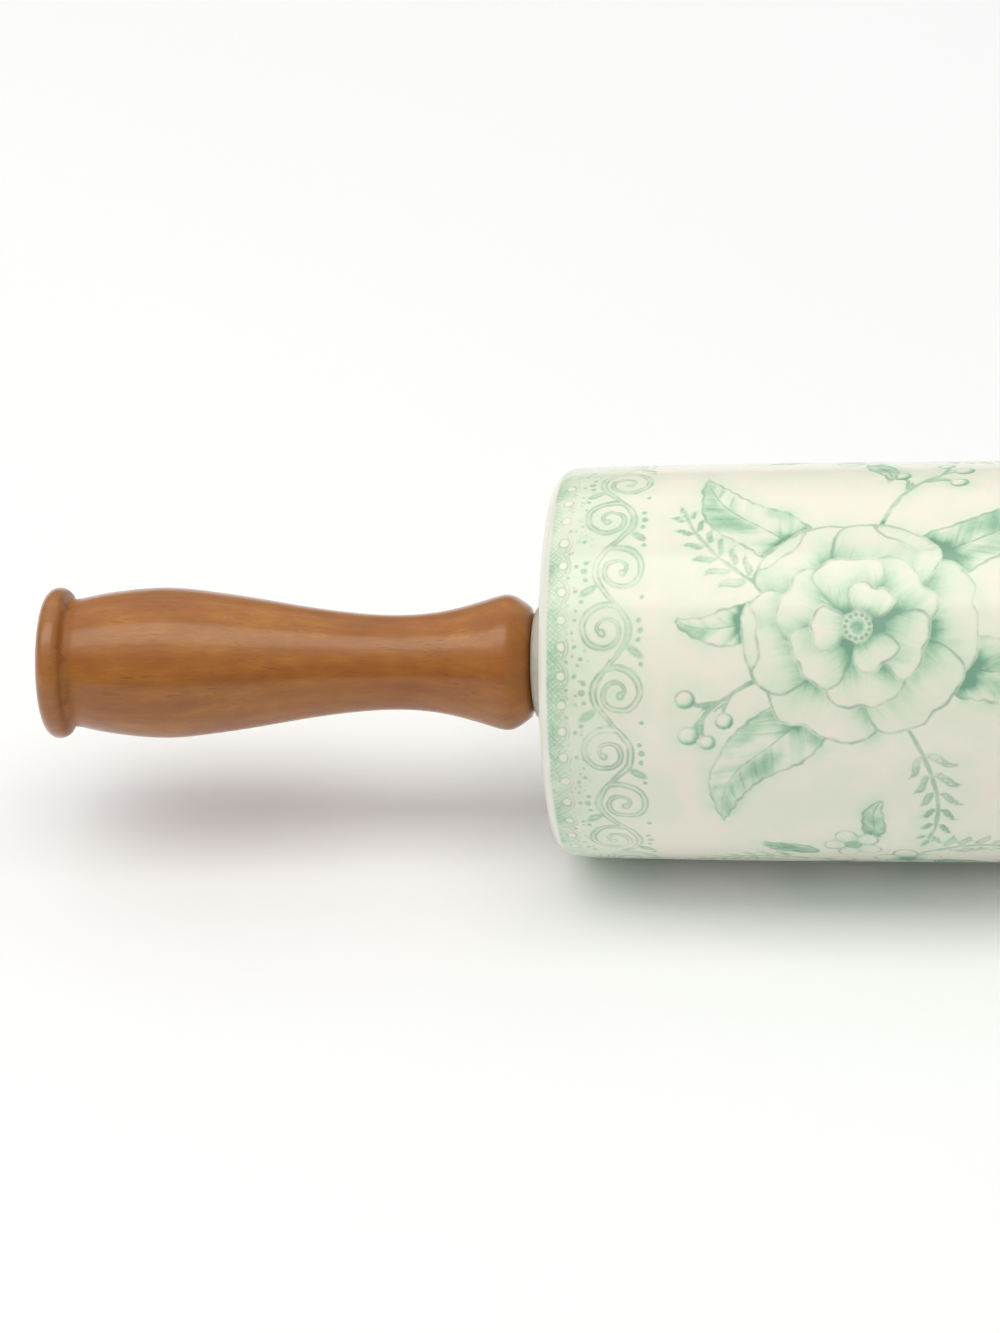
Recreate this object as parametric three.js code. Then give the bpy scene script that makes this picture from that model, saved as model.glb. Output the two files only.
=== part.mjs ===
// Ceramic rolling pin: a hollow glazed roller that turns on a steel axle rod
// between two turned wooden handles.
// Millimetres, +Z up. Origin: centre of the roller on its axis. +X runs along the pin.
import * as THREE from 'three';

// ---------------------------------------------------------------- driving dimensions
const ROLLER_LENGTH = 240;
const ROLLER_RADIUS = 35;        // at mid length
const SHOULDER_RADIUS = 4.2;     // rounded corner between the side and the end face
const ROLLER_WALL = 6.5;
const END_WALL = 9;
const END_BORE_RADIUS = 8.3;     // hole in each end wall, takes the bush

const AXLE_RADIUS = 4;
const AXLE_SHOULDER = 6.6;       // shoulder, measured outwards from the roller's end plane
const THREAD_RADIUS = 2.85;      // reduced threaded end
const THREAD_TIP = 20.5;         // tip of the thread beyond the roller's end plane

const COLLAR_INNER = 0.3;        // bush collar, beyond the roller's end plane
const COLLAR_OUTER = 3.8;
const COLLAR_RADIUS = 10.2;
const COLLAR_FACE_RADIUS = 8.7;
const SPIGOT_RADIUS = 8.0;
const SPIGOT_DEPTH = 13;
const BUSH_BORE_RADIUS = 4.3;

const HANDLE_LENGTH = 87.4;
const HANDLE_START = 4.1;        // inner end face of the handle
const BEAD_HALF_WIDTH = 2.4;     // rounded bead at the outer end
const BEAD_HEIGHT = 2.7;         // from the rim of the flat end to the crest
const BEAD_CREST = 13.4;
const WASHER_RECESS_RADIUS = 7.3;
const WASHER_RECESS_DEPTH = 5.2; // all depths are measured from the roller's end plane
const INSERT_BORE_RADIUS = 5.35;
const INSERT_BORE_DEPTH = 22;
const PILOT_RADIUS = 3.5;
const PILOT_DEPTH = 27;

const WASHER_OUTER = 7.0;
const WASHER_INNER = 4.4;
const WASHER_FACES = [4.1, 4.95];

const LOCK_OUTER = 5.0;
const LOCK_INNER = 3.2;
const LOCK_FACES = [6.9, 8.2];
const LOCK_GAP = 0.16;           // half the split, in radians

const INSERT_FACES = [8.5, 21.5];
const INSERT_OUTER = 5.05;
const INSERT_INNER = 3.2;
const INSERT_RIB = 0.45;         // depth of the grooves between the gripping ribs

const ROLLER_SIDES = 48;
const HANDLE_SIDES = 36;
const BUSH_SIDES = 36;
const AXLE_SIDES = 24;
const SMALL_SIDES = 24;

const END = ROLLER_LENGTH / 2;

// ---------------------------------------------------------------- materials
const finish = (color, roughness, metalness) =>
  new THREE.MeshStandardMaterial({ color, roughness, metalness });
const glaze = () => finish(0xf3f1e2, 0.14, 0);
const wood = () => finish(0x99683c, 0.42, 0);
const nylon = () => finish(0xcfcfc8, 0.35, 0);
const steel = () => finish(0xb6b8ba, 0.3, 1);
const brass = () => finish(0xb5933f, 0.35, 1);

// ---------------------------------------------------------------- turned shapes
// A profile is a list of [distance along the axis, radius]. It is turned about X with a
// flat facet at the very bottom and the very top.
function turned(profile, sides) {
  const points = profile.map(([along, radius]) => new THREE.Vector2(radius, along));
  const geometry = new THREE.LatheGeometry(points, sides, Math.PI / sides);
  geometry.rotateZ(-Math.PI / 2);
  return geometry;
}

function arc(centreAlong, centreRadius, radius, fromDeg, toDeg, steps) {
  const points = [];
  for (let i = 0; i <= steps; i++) {
    const angle = THREE.MathUtils.degToRad(fromDeg + ((toDeg - fromDeg) * i) / steps);
    points.push([centreAlong + radius * Math.cos(angle), centreRadius + radius * Math.sin(angle)]);
  }
  return points;
}

function named(name, geometry, material) {
  const mesh = new THREE.Mesh(geometry, material);
  mesh.name = name;
  return mesh;
}

// ---------------------------------------------------------------- roller
// The side is straight over the middle and draws in slightly towards each end.
// Each pair is [distance from the end plane, drop below the full radius].
const END_TAPER = [[4.2, 0.88], [7.6, 0.67], [12, 0.53], [21.8, 0.37], [34, 0.2], [55, 0.07], [76, 0]];

function rollerBarrel() {
  const shoulderTop = ROLLER_RADIUS - END_TAPER[0][1];
  const right = [
    [END, END_BORE_RADIUS + 0.6],
    ...arc(END - SHOULDER_RADIUS, shoulderTop - SHOULDER_RADIUS, SHOULDER_RADIUS, 0, 90, 5),
    ...END_TAPER.slice(1).map(([inset, drop]) => [END - inset, ROLLER_RADIUS - drop]),
  ];
  const left = right.map(([along, radius]) => [-along, radius]).reverse();
  const inner = ROLLER_RADIUS - ROLLER_WALL;
  const floor = END - END_WALL;
  const hollow = [
    [-END + 0.6, END_BORE_RADIUS],
    [-floor, END_BORE_RADIUS],
    [-floor, inner - 5],
    [-floor + 1.5, inner - 1.5],
    [-floor + 5, inner],
    [floor - 5, inner],
    [floor - 1.5, inner - 1.5],
    [floor, inner - 5],
    [floor, END_BORE_RADIUS],
    [END - 0.6, END_BORE_RADIUS],
  ];
  const loop = [...right, ...left, ...hollow];
  loop.push(loop[0]);
  return turned(loop.reverse(), ROLLER_SIDES);
}

// ---------------------------------------------------------------- axle
function axleRod() {
  const shoulder = END + AXLE_SHOULDER;
  const tip = END + THREAD_TIP;
  const half = [
    [shoulder - 0.6, AXLE_RADIUS],
    [shoulder, AXLE_RADIUS - 0.5],
    [shoulder, THREAD_RADIUS],
    [tip - 1, THREAD_RADIUS],
    [tip, THREAD_RADIUS - 0.9],
    [tip, 0],
  ];
  const other = half.map(([along, radius]) => [-along, radius]).reverse();
  return turned([...other, ...half], AXLE_SIDES);
}

// ---------------------------------------------------------------- end pieces
// Distances run outwards from the roller's end plane.
function bush() {
  const front = COLLAR_OUTER;
  const loop = [
    [front, BUSH_BORE_RADIUS + 0.5],
    [front, COLLAR_FACE_RADIUS],
    [front - 0.35, COLLAR_FACE_RADIUS + 0.85],
    [front - 0.95, COLLAR_RADIUS - 0.2],
    [front - 1.8, COLLAR_RADIUS],
    [COLLAR_INNER, COLLAR_RADIUS],
    [COLLAR_INNER, SPIGOT_RADIUS],
    [-SPIGOT_DEPTH + 1, SPIGOT_RADIUS],
    [-SPIGOT_DEPTH, SPIGOT_RADIUS - 0.8],
    [-SPIGOT_DEPTH, BUSH_BORE_RADIUS],
    [front - 0.5, BUSH_BORE_RADIUS],
  ];
  loop.push(loop[0]);
  return turned(loop.reverse(), BUSH_SIDES);
}

// Radii of the handle, by distance from its outer end.
const HANDLE_PROFILE = [
  [6.7, 11.53], [9.5, 12.13], [13.5, 12.7], [17.1, 13.14], [20.7, 13.34], [24.3, 13.26],
  [29.6, 12.65], [35, 11.92], [42.2, 10.7], [49.3, 9.54], [56.5, 8.68], [63.6, 8.37],
  [68.5, 8.67], [72.5, 9.33], [76.1, 10.21], [79.3, 11.19], [81.4, 11.8], [82.8, 11.95],
  [84.2, 11.54], [85.7, 10.55], [86.8, 9.72], [87.4, 8.64],
];

function handle() {
  const outerEnd = HANDLE_START + HANDLE_LENGTH;
  const at = ([fromOuterEnd, radius]) => [outerEnd - fromOuterEnd, radius];
  const bead = arc(0, 0, 1, 180, 20, 8).map(([along, radius]) => [
    BEAD_HALF_WIDTH * (1 + along), BEAD_CREST - BEAD_HEIGHT * (1 - radius),
  ]);
  return turned([
    [PILOT_DEPTH + 1.5, 0],
    [PILOT_DEPTH, PILOT_RADIUS],
    [INSERT_BORE_DEPTH, PILOT_RADIUS],
    [INSERT_BORE_DEPTH, INSERT_BORE_RADIUS],
    [WASHER_RECESS_DEPTH, INSERT_BORE_RADIUS],
    [WASHER_RECESS_DEPTH, WASHER_RECESS_RADIUS],
    [HANDLE_START, WASHER_RECESS_RADIUS],
    ...HANDLE_PROFILE.map(at).reverse(),
    at([4.95, 11.2]),
    ...bead.map(at).reverse(),
    [outerEnd, 0],
  ], HANDLE_SIDES);
}

function insert() {
  const [near, far] = INSERT_FACES;
  const loop = [[near, INSERT_INNER + 0.4], [near, INSERT_OUTER - 0.35], [near + 0.35, INSERT_OUTER]];
  const ribs = 4;
  const pitch = (far - near - 0.7) / ribs;
  for (let i = 0; i < ribs; i++) {
    const start = near + 0.35 + i * pitch;
    loop.push([start + pitch - 1.4, INSERT_OUTER]);
    if (i < ribs - 1) {
      loop.push([start + pitch - 1.2, INSERT_OUTER - INSERT_RIB]);
      loop.push([start + pitch - 0.2, INSERT_OUTER - INSERT_RIB]);
      loop.push([start + pitch, INSERT_OUTER]);
    }
  }
  loop.push([far, INSERT_OUTER - 0.7], [far, INSERT_INNER], [near + 0.4, INSERT_INNER]);
  loop.push(loop[0]);
  return turned(loop, SMALL_SIDES);
}

function washer() {
  const [near, far] = WASHER_FACES;
  const loop = [
    [near, WASHER_INNER], [near, WASHER_OUTER - 0.2], [near + 0.2, WASHER_OUTER],
    [far, WASHER_OUTER], [far, WASHER_INNER],
  ];
  loop.push(loop[0]);
  return turned(loop, SMALL_SIDES);
}

// A ring cut through at one place.
function lockWasher() {
  const [near, far] = LOCK_FACES;
  const ring = new THREE.Shape();
  ring.absarc(0, 0, LOCK_OUTER, LOCK_GAP, 2 * Math.PI - LOCK_GAP, false);
  ring.absarc(0, 0, LOCK_INNER, 2 * Math.PI - LOCK_GAP, LOCK_GAP, true);
  const geometry = new THREE.ExtrudeGeometry(ring, {
    depth: far - near, bevelEnabled: false, curveSegments: SMALL_SIDES,
  });
  geometry.rotateY(Math.PI / 2);
  geometry.translate(near, 0, 0);
  return geometry;
}

function endGroup(side, position, turn) {
  const group = new THREE.Group();
  group.position.set(position, 0, 0);
  group.rotation.z = turn;
  group.add(named(`${side}_bush`, bush(), nylon()));
  group.add(named(`${side}_washer`, washer(), steel()));
  group.add(named(`${side}_lock_washer`, lockWasher(), steel()));
  group.add(named(`${side}_insert`, insert(), brass()));
  group.add(named(`${side}_handle`, handle(), wood()));
  return group;
}

const rollingPin = new THREE.Group();
rollingPin.name = 'rolling_pin';
rollingPin.add(named('roller_barrel', rollerBarrel(), glaze()));
rollingPin.add(named('axle_rod', axleRod(), steel()));
rollingPin.add(endGroup('right', END, 0));
rollingPin.add(endGroup('left', -END, Math.PI));

export default rollingPin;
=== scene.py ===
import math

import bpy
import numpy as np
from mathutils import Matrix, Vector


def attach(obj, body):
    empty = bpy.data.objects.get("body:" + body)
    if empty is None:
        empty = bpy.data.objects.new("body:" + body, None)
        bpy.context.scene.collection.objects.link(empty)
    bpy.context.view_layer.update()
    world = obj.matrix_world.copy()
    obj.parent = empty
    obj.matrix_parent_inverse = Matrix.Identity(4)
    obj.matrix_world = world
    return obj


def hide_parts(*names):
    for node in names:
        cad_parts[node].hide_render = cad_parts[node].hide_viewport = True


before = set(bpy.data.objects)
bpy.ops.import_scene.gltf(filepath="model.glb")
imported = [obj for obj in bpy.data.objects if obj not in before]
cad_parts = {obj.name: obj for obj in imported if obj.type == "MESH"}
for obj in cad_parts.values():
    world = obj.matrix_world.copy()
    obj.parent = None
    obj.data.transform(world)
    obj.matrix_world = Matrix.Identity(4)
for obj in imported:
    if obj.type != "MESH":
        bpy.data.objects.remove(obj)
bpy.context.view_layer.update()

MM = 0.001
END = 120.0                 # roller's end plane, mm from the middle
R_FULL = 35.0
VIEW_ELEVATION = math.radians(35)   # the side that faces the camera

# ------------------------------------------------------------------ turned meshes


def smooth_profile(points, step):
    """Points on a smooth curve through [along, radius] pairs (Catmull-Rom, chord spaced)."""
    p = np.array(points, float)
    chord = np.r_[0, np.cumsum(np.sqrt(np.hypot(*np.diff(p, axis=0).T)))]
    tangent = np.gradient(p, chord, axis=0)
    out = []
    for i in range(len(p) - 1):
        h = chord[i + 1] - chord[i]
        n = max(1, int(round(np.hypot(*(p[i + 1] - p[i])) / step)))
        for k in range(n):
            t = k / n
            a = 2 * t**3 - 3 * t**2 + 1
            b = t**3 - 2 * t**2 + t
            c = -2 * t**3 + 3 * t**2
            d = t**3 - t**2
            out.append(a * p[i] + b * h * tangent[i] + c * p[i + 1] + d * h * tangent[i + 1])
    out.append(p[-1])
    return [tuple(q) for q in out]


def arc(ca, cr, radius, start, stop, steps):
    ang = np.radians(np.linspace(start, stop, steps + 1))
    return [(ca + radius * math.cos(a), cr + radius * math.sin(a)) for a in ang]


def straight(a, b, step):
    a, b = np.array(a, float), np.array(b, float)
    n = max(1, int(round(np.hypot(*(b - a)) / step)))
    return [tuple(a + (b - a) * k / n) for k in range(n)]


def ring_frame(columns):
    """Unit vectors around X. Column 0 is at the back: the middle column faces the camera side."""
    theta = -math.pi + 2 * math.pi * np.arange(columns) / columns
    e = VIEW_ELEVATION
    front = np.array([0, -math.cos(e), math.sin(e)])
    up = np.array([0, math.sin(e), math.cos(e)])
    return theta, np.cos(theta)[:, None] * front + np.sin(theta)[:, None] * up


def turned(name, profile, columns, closed, sharp_from=None, v_rows=None):
    """A closed turned mesh about X from [along, radius] pairs in mm.
    closed: the profile is a loop; otherwise it starts and ends on the axis.
    sharp_from: corners that turn by more than this angle in degrees are marked sharp.
    v_rows: the bake map's v of each profile point."""
    prof = np.array(profile, float)
    theta, radial = ring_frame(columns)
    verts, rows = [], []
    for along, radius in prof:
        if radius < 1e-6:
            rows.append([len(verts)])
            verts.append((along, 0, 0))
        else:
            rows.append(list(range(len(verts), len(verts) + columns)))
            ring = radial * radius
            ring[:, 0] = along
            verts.extend(map(tuple, ring))
    if v_rows is None:
        length = np.r_[0, np.cumsum(np.hypot(*np.diff(np.vstack([prof, prof[:1]] if closed else [prof]), axis=0).T))]
        v_rows = length / length[-1]
    faces, uvs = [], []
    count = len(rows)
    margin = 0.004
    fit = lambda x: margin + x * (1 - 2 * margin)
    for i in range(count if closed else count - 1):
        a, b = rows[i], rows[(i + 1) % count]
        va, vb = fit(v_rows[i]), fit(v_rows[i + 1])
        for j in range(columns):
            k = (j + 1) % columns
            ua, ub = fit(j / columns), fit((j + 1) / columns)
            if len(a) == 1 and len(b) == 1:
                continue
            if len(a) == 1:
                faces.append((a[0], b[j], b[k]))
                uvs += [((ua + ub) / 2, va), (ua, vb), (ub, vb)]
            elif len(b) == 1:
                faces.append((a[j], b[0], a[k]))
                uvs += [(ua, va), ((ua + ub) / 2, vb), (ub, va)]
            else:
                faces.append((a[j], b[j], b[k], a[k]))
                uvs += [(ua, va), (ua, vb), (ub, vb), (ub, va)]
    mesh = bpy.data.meshes.new(name)
    mesh.from_pydata([tuple(MM * c for c in v) for v in verts], [], faces)
    layer = mesh.uv_layers.new(name="OFBake")
    layer.data.foreach_set("uv", np.array(uvs, np.float32).ravel())
    mesh.update()
    # the volume's sign says which way the faces point
    co = np.array([v.co for v in mesh.vertices])
    mesh.calc_loop_triangles()
    tri = np.zeros(len(mesh.loop_triangles) * 3, np.int32)
    mesh.loop_triangles.foreach_get("vertices", tri)
    t = co[tri.reshape(-1, 3)]
    if np.einsum("ij,ij->i", t[:, 0], np.cross(t[:, 1], t[:, 2])).sum() < 0:
        mesh.flip_normals()
    mesh.polygons.foreach_set("use_smooth", np.ones(len(mesh.polygons), bool))
    if sharp_from:
        wanted = set()
        step = np.roll(prof, -1, 0) - prof
        heading = np.degrees(np.arctan2(step[:, 1], step[:, 0]))
        bend = np.abs((heading - np.roll(heading, 1) + 180) % 360 - 180)
        for ring, b in zip(rows, bend):
            if len(ring) > 1 and b > sharp_from:
                wanted |= {frozenset((ring[j], ring[(j + 1) % columns])) for j in range(columns)}
        flags = np.array([frozenset(e.vertices) in wanted for e in mesh.edges], bool)
        attribute = mesh.attributes.new("sharp_edge", "BOOLEAN", "EDGE")
        attribute.data.foreach_set("value", flags)
    obj = bpy.data.objects.new(name, mesh)
    bpy.context.scene.collection.objects.link(obj)
    return obj, rows


# ------------------------------------------------------------------ node helper


class V:
    """A value in a shader tree, with arithmetic."""

    def __init__(self, tree, socket):
        self.tree, self.socket = tree, socket

    def op(self, kind, *others, clamp=False):
        node = self.tree.nodes.new("ShaderNodeMath")
        node.operation = kind
        node.use_clamp = clamp
        for i, x in enumerate((self, *others)):
            if isinstance(x, V):
                self.tree.links.new(x.socket, node.inputs[i])
            else:
                node.inputs[i].default_value = float(x)
        return V(self.tree, node.outputs[0])

    def lift(self, x):
        if isinstance(x, V):
            return x
        node = self.tree.nodes.new("ShaderNodeValue")
        node.outputs[0].default_value = float(x)
        return V(self.tree, node.outputs[0])

    def __add__(self, o): return self.op("ADD", o)
    __radd__ = __add__
    def __sub__(self, o): return self.op("SUBTRACT", o)
    def __rsub__(self, o): return (self * -1.0) + o
    def __mul__(self, o): return self.op("MULTIPLY", o)
    __rmul__ = __mul__
    def __truediv__(self, o): return self.op("DIVIDE", o)
    def __neg__(self): return self * -1.0
    def abs(self): return self.op("ABSOLUTE")
    def min(self, o): return self.op("MINIMUM", o)
    def max(self, o): return self.op("MAXIMUM", o)
    def fract(self): return self.op("FRACT")
    def floor(self): return self.op("FLOOR")
    def sin(self): return self.op("SINE")
    def cos(self): return self.op("COSINE")
    def sqrt(self): return self.op("SQRT")
    def exp(self): return self.op("EXPONENT")
    def pow(self, o): return self.op("POWER", o)
    def less(self, o): return self.op("LESS_THAN", o)
    def greater(self, o): return self.op("GREATER_THAN", o)
    def clamp(self): return self.op("ADD", 0.0, clamp=True)
    def madd(self, m, a): return self.op("MULTIPLY_ADD", m, a)
    def atan2(self, o): return self.op("ARCTAN2", o)

    def ramp(self, a, b, lo=0.0, hi=1.0):
        """Smooth step from lo at a to hi at b."""
        node = self.tree.nodes.new("ShaderNodeMapRange")
        node.interpolation_type = "SMOOTHSTEP"
        node.clamp = True
        self.tree.links.new(self.socket, node.inputs["Value"])
        lo, hi = float(lo), float(hi)
        if a > b:
            a, b, lo, hi = b, a, hi, lo
        for key, x in (("From Min", a), ("From Max", b), ("To Min", lo), ("To Max", hi)):
            node.inputs[key].default_value = x
        return V(self.tree, node.outputs["Result"])


class Vec:
    def __init__(self, tree, socket):
        self.tree, self.socket = tree, socket

    def xyz(self):
        node = self.tree.nodes.new("ShaderNodeSeparateXYZ")
        self.tree.links.new(self.socket, node.inputs[0])
        return [V(self.tree, s) for s in node.outputs]


def vec(tree, *parts):
    node = tree.nodes.new("ShaderNodeCombineXYZ")
    for i, x in enumerate(parts):
        if isinstance(x, V):
            tree.links.new(x.socket, node.inputs[i])
        else:
            node.inputs[i].default_value = float(x)
    return Vec(tree, node.outputs[0])


def noise(tree, where, scale, detail=2.0, rough=0.5, distort=0.0, dims="3D"):
    node = tree.nodes.new("ShaderNodeTexNoise")
    node.noise_dimensions = dims
    tree.links.new(where.socket, node.inputs["Vector"])
    node.inputs["Scale"].default_value = scale
    node.inputs["Detail"].default_value = detail
    node.inputs["Roughness"].default_value = rough
    node.inputs["Distortion"].default_value = distort
    return V(tree, node.outputs["Fac"])


def attribute(tree, name):
    node = tree.nodes.new("ShaderNodeAttribute")
    node.attribute_name = name
    return Vec(tree, node.outputs["Vector"])


def object_mm(tree):
    """The piece's own coordinates in millimetres."""
    coord = tree.nodes.new("ShaderNodeTexCoord")
    scale = tree.nodes.new("ShaderNodeVectorMath")
    scale.operation = "SCALE"
    scale.inputs["Scale"].default_value = 1000.0
    tree.links.new(coord.outputs["Object"], scale.inputs[0])
    return Vec(tree, scale.outputs[0])


def srgb(r, g, b):
    def lin(c):
        c /= 255.0
        return c / 12.92 if c <= 0.04045 else ((c + 0.055) / 1.055) ** 2.4
    return (lin(r), lin(g), lin(b), 1.0)


def colours(tree, value, stops):
    node = tree.nodes.new("ShaderNodeValToRGB")
    ramp = node.color_ramp
    ramp.interpolation = "LINEAR"
    while len(ramp.elements) > 1:
        ramp.elements.remove(ramp.elements[-1])
    ramp.elements[0].position, ramp.elements[0].color = stops[0]
    for pos, col in stops[1:]:
        ramp.elements.new(pos).color = col
    tree.links.new(value.socket, node.inputs["Fac"])
    return node.outputs["Color"]


def mix_colour(tree, factor, a, b, mode="MIX"):
    node = tree.nodes.new("ShaderNodeMix")
    node.data_type = "RGBA"
    node.blend_type = mode
    for key, x in ((0, factor), (6, a), (7, b)):
        if isinstance(x, V):
            tree.links.new(x.socket, node.inputs[key])
        elif isinstance(x, (tuple, float, int)):
            node.inputs[key].default_value = x
        else:
            tree.links.new(x, node.inputs[key])
    return node.outputs[2]


def material(name):
    mat = bpy.data.materials.new(name)
    mat.use_nodes = True
    tree = mat.node_tree
    bsdf = next(n for n in tree.nodes if n.type == "BSDF_PRINCIPLED")
    return mat, tree, bsdf


def bump(tree, bsdf, height, strength, distance):
    node = tree.nodes.new("ShaderNodeBump")
    node.inputs["Strength"].default_value = strength
    node.inputs["Distance"].default_value = distance
    tree.links.new(height.socket, node.inputs["Height"])
    tree.links.new(node.outputs["Normal"], bsdf.inputs["Normal"])


# ------------------------------------------------------------------ wood


def wood_material(name, flip, offset):
    """Stained hardwood under satin lacquer, grain along X."""
    mat, tree, bsdf = material(name)
    p = object_mm(tree)
    x, y, z = p.xyz()
    x = x * flip + offset
    # slow bend of the grain lines
    drift = noise(tree, vec(tree, x * 0.018, y * 0.05, z * 0.05), 1.0, 2.0)
    ring = ((y + 9.0) * (y + 9.0) + (z - 31.0) * (z - 31.0)).sqrt() + drift * 7.0
    growth = (ring * 1.75).sin() * 0.5 + 0.5
    fibre = noise(tree, vec(tree, x * 0.07, y * 2.3, z * 2.3), 1.0, 4.0, 0.62)
    # cloud is random tone, but its place is chosen so that its lighter part falls on the handle's upper side: a
    # painted lighter top
    cloud = noise(tree, vec(tree, x * 0.05 + 23.4, y * 0.13 + 10.3, z * 0.13 + 10.0), 1.0, 3.0)
    figure = noise(tree, vec(tree, x * 0.22, y * 0.5, z * 0.5 + 11.0), 1.0, 3.0)
    tone = 0.464 + (fibre - 0.5) * 0.31 + (growth - 0.5) * 0.07 + (cloud - 0.5) * 0.6 + (figure - 0.5) * 0.26
    # the turned-off outer end shows end grain: rings, rays and open pores
    ax = p.xyz()[0].abs()
    end_face = ax.ramp(210.9, 211.42)
    ray = noise(tree, vec(tree, ring * 0.16, (z - 31.0).atan2(y + 9.0) * 62.0, 3.0), 1.0, 2.0)
    tone = tone + end_face * ((ray - 0.5) * 0.34 - growth.pow(5.0) * (drift * 0.2 + 0.06) - 0.06)
    base = colours(tree, tone.clamp(), [
        (0.0, srgb(116, 63, 18)), (0.3, srgb(146, 84, 25)), (0.5, srgb(163, 99, 31)),
        (0.75, srgb(184, 125, 44)), (1.0, srgb(199, 145, 61))])
    # short dark pores and longer flecks that follow the grain
    pore = noise(tree, vec(tree, x * 0.42, y * 4.4, z * 4.4 + drift * 2.0), 1.0, 1.0, 0.4)
    fleck = noise(tree, vec(tree, x * 0.2, y * 2.2 + 7.0, z * 2.2), 1.0, 1.0, 0.4)
    where = noise(tree, vec(tree, x * 0.06, y * 0.16, z * 0.16 + 20.0), 1.0, 1.0)
    open_end = noise(tree, vec(tree, 0.0, y * 2.6, z * 2.6), 1.0, 1.0, 0.4).ramp(0.58, 0.7) * end_face
    pores = (pore.ramp(0.60, 0.74) * where.ramp(0.3, 0.62, 0.25, 1.0)).max(open_end)
    flecks = fleck.ramp(0.67, 0.75) * where.ramp(0.42, 0.62)
    base = mix_colour(tree, pores * 0.34, base, srgb(104, 60, 26))
    base = mix_colour(tree, flecks * 0.5, base, srgb(92, 50, 20))
    # painted shade: the corner behind the bead is mixed towards a duller brown, standing in for the shade in that
    # recess; a few dark specks of dirt sit there too
    corner = (ax - 206.7).abs().ramp(1.9, 0.2) * noise(tree, p, 0.3, 2.0).ramp(0.35, 0.65, 0.5, 1.0)
    specks = noise(tree, p, 0.5, 3.0).ramp(0.54, 0.68) * (ax - 206.8).abs().ramp(1.6, 0.3)
    # painted shade in the corner behind the bead
    base = mix_colour(tree, corner * 0.4, base, srgb(150, 104, 72))
    base = mix_colour(tree, specks * 0.34, base, srgb(84, 50, 24))
    # painted highlight: the bead is painted paler and greyer, a sheen put into its colour
    base = mix_colour(tree, (ax - 209.2).abs().ramp(2.6, 0.8) * 0.3, base, srgb(168, 116, 74))
    tree.links.new(base, bsdf.inputs["Base Color"])
    rough = 0.44 + (fibre - 0.5) * 0.16 + pores * 0.12
    tree.links.new(rough.socket, bsdf.inputs["Roughness"])
    bsdf.inputs["Specular IOR Level"].default_value = 0.2
    # the lacquer is dull in that corner
    tree.links.new((0.9 - (ax - 206.5).abs().ramp(2.1, 0.8) * 0.7).socket, bsdf.inputs["Coat Weight"])
    bsdf.inputs["Coat Roughness"].default_value = 0.19
    bsdf.inputs["Coat IOR"].default_value = 1.46
    rings = (ax * 7.2).sin() * 0.06
    lacquer = noise(tree, p, 0.28, 2.0) * 3.0
    bump(tree, bsdf, fibre * 0.4 + rings + lacquer - pores * 0.6 - flecks * 0.5, 0.35, 0.00008)
    return mat


# ------------------------------------------------------------------ plastics and metals


def nylon_material():
    mat, tree, bsdf = material("natural_nylon")
    p = object_mm(tree)
    x, y, z = p.xyz()
    cloud = noise(tree, p, 0.35, 3.0)
    fine = noise(tree, p, 5.0, 2.0)
    base = colours(tree, (cloud * 0.8 + fine * 0.2), [
        (0.25, srgb(176, 173, 161)), (0.6, srgb(193, 190, 178)), (0.9, srgb(205, 202, 190))])
    tree.links.new(base, bsdf.inputs["Base Color"])
    tree.links.new((0.30 + fine * 0.12).socket, bsdf.inputs["Roughness"])
    bsdf.inputs["Subsurface Weight"].default_value = 0.15
    bsdf.inputs["Subsurface Radius"].default_value = (0.002, 0.002, 0.0018)
    bsdf.inputs["Subsurface Scale"].default_value = 1.0
    turning = ((y * y + z * z).sqrt() * 9.0).sin() * 0.3
    bump(tree, bsdf, fine + turning, 0.2, 0.00006)
    return mat


def metal_material(name, light, dark, rough, stretch):
    mat, tree, bsdf = material(name)
    p = object_mm(tree)
    x, y, z = p.xyz()
    r = (y * y + z * z).sqrt()
    lines = noise(tree, vec(tree, x * stretch[0], r * stretch[1], z.atan2(y) * stretch[2]), 1.0, 3.0, 0.6)
    cloud = noise(tree, p, 0.25, 3.0)
    tree.links.new(colours(tree, lines * 0.6 + cloud * 0.4, [(0.3, dark), (0.7, light)]), bsdf.inputs["Base Color"])
    bsdf.inputs["Metallic"].default_value = 1.0
    tree.links.new((lines * 0.22 + rough).socket, bsdf.inputs["Roughness"])
    bump(tree, bsdf, lines, 0.3, 0.00004)
    return mat


# ------------------------------------------------------------------ roller

SHOULDER = 4.2
TAPER = [(4.2, 0.88), (7.6, 0.67), (12, 0.53), (21.8, 0.37), (34, 0.2), (55, 0.07), (76, 0.0)]
PRINT_COLUMNS = 286


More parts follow.
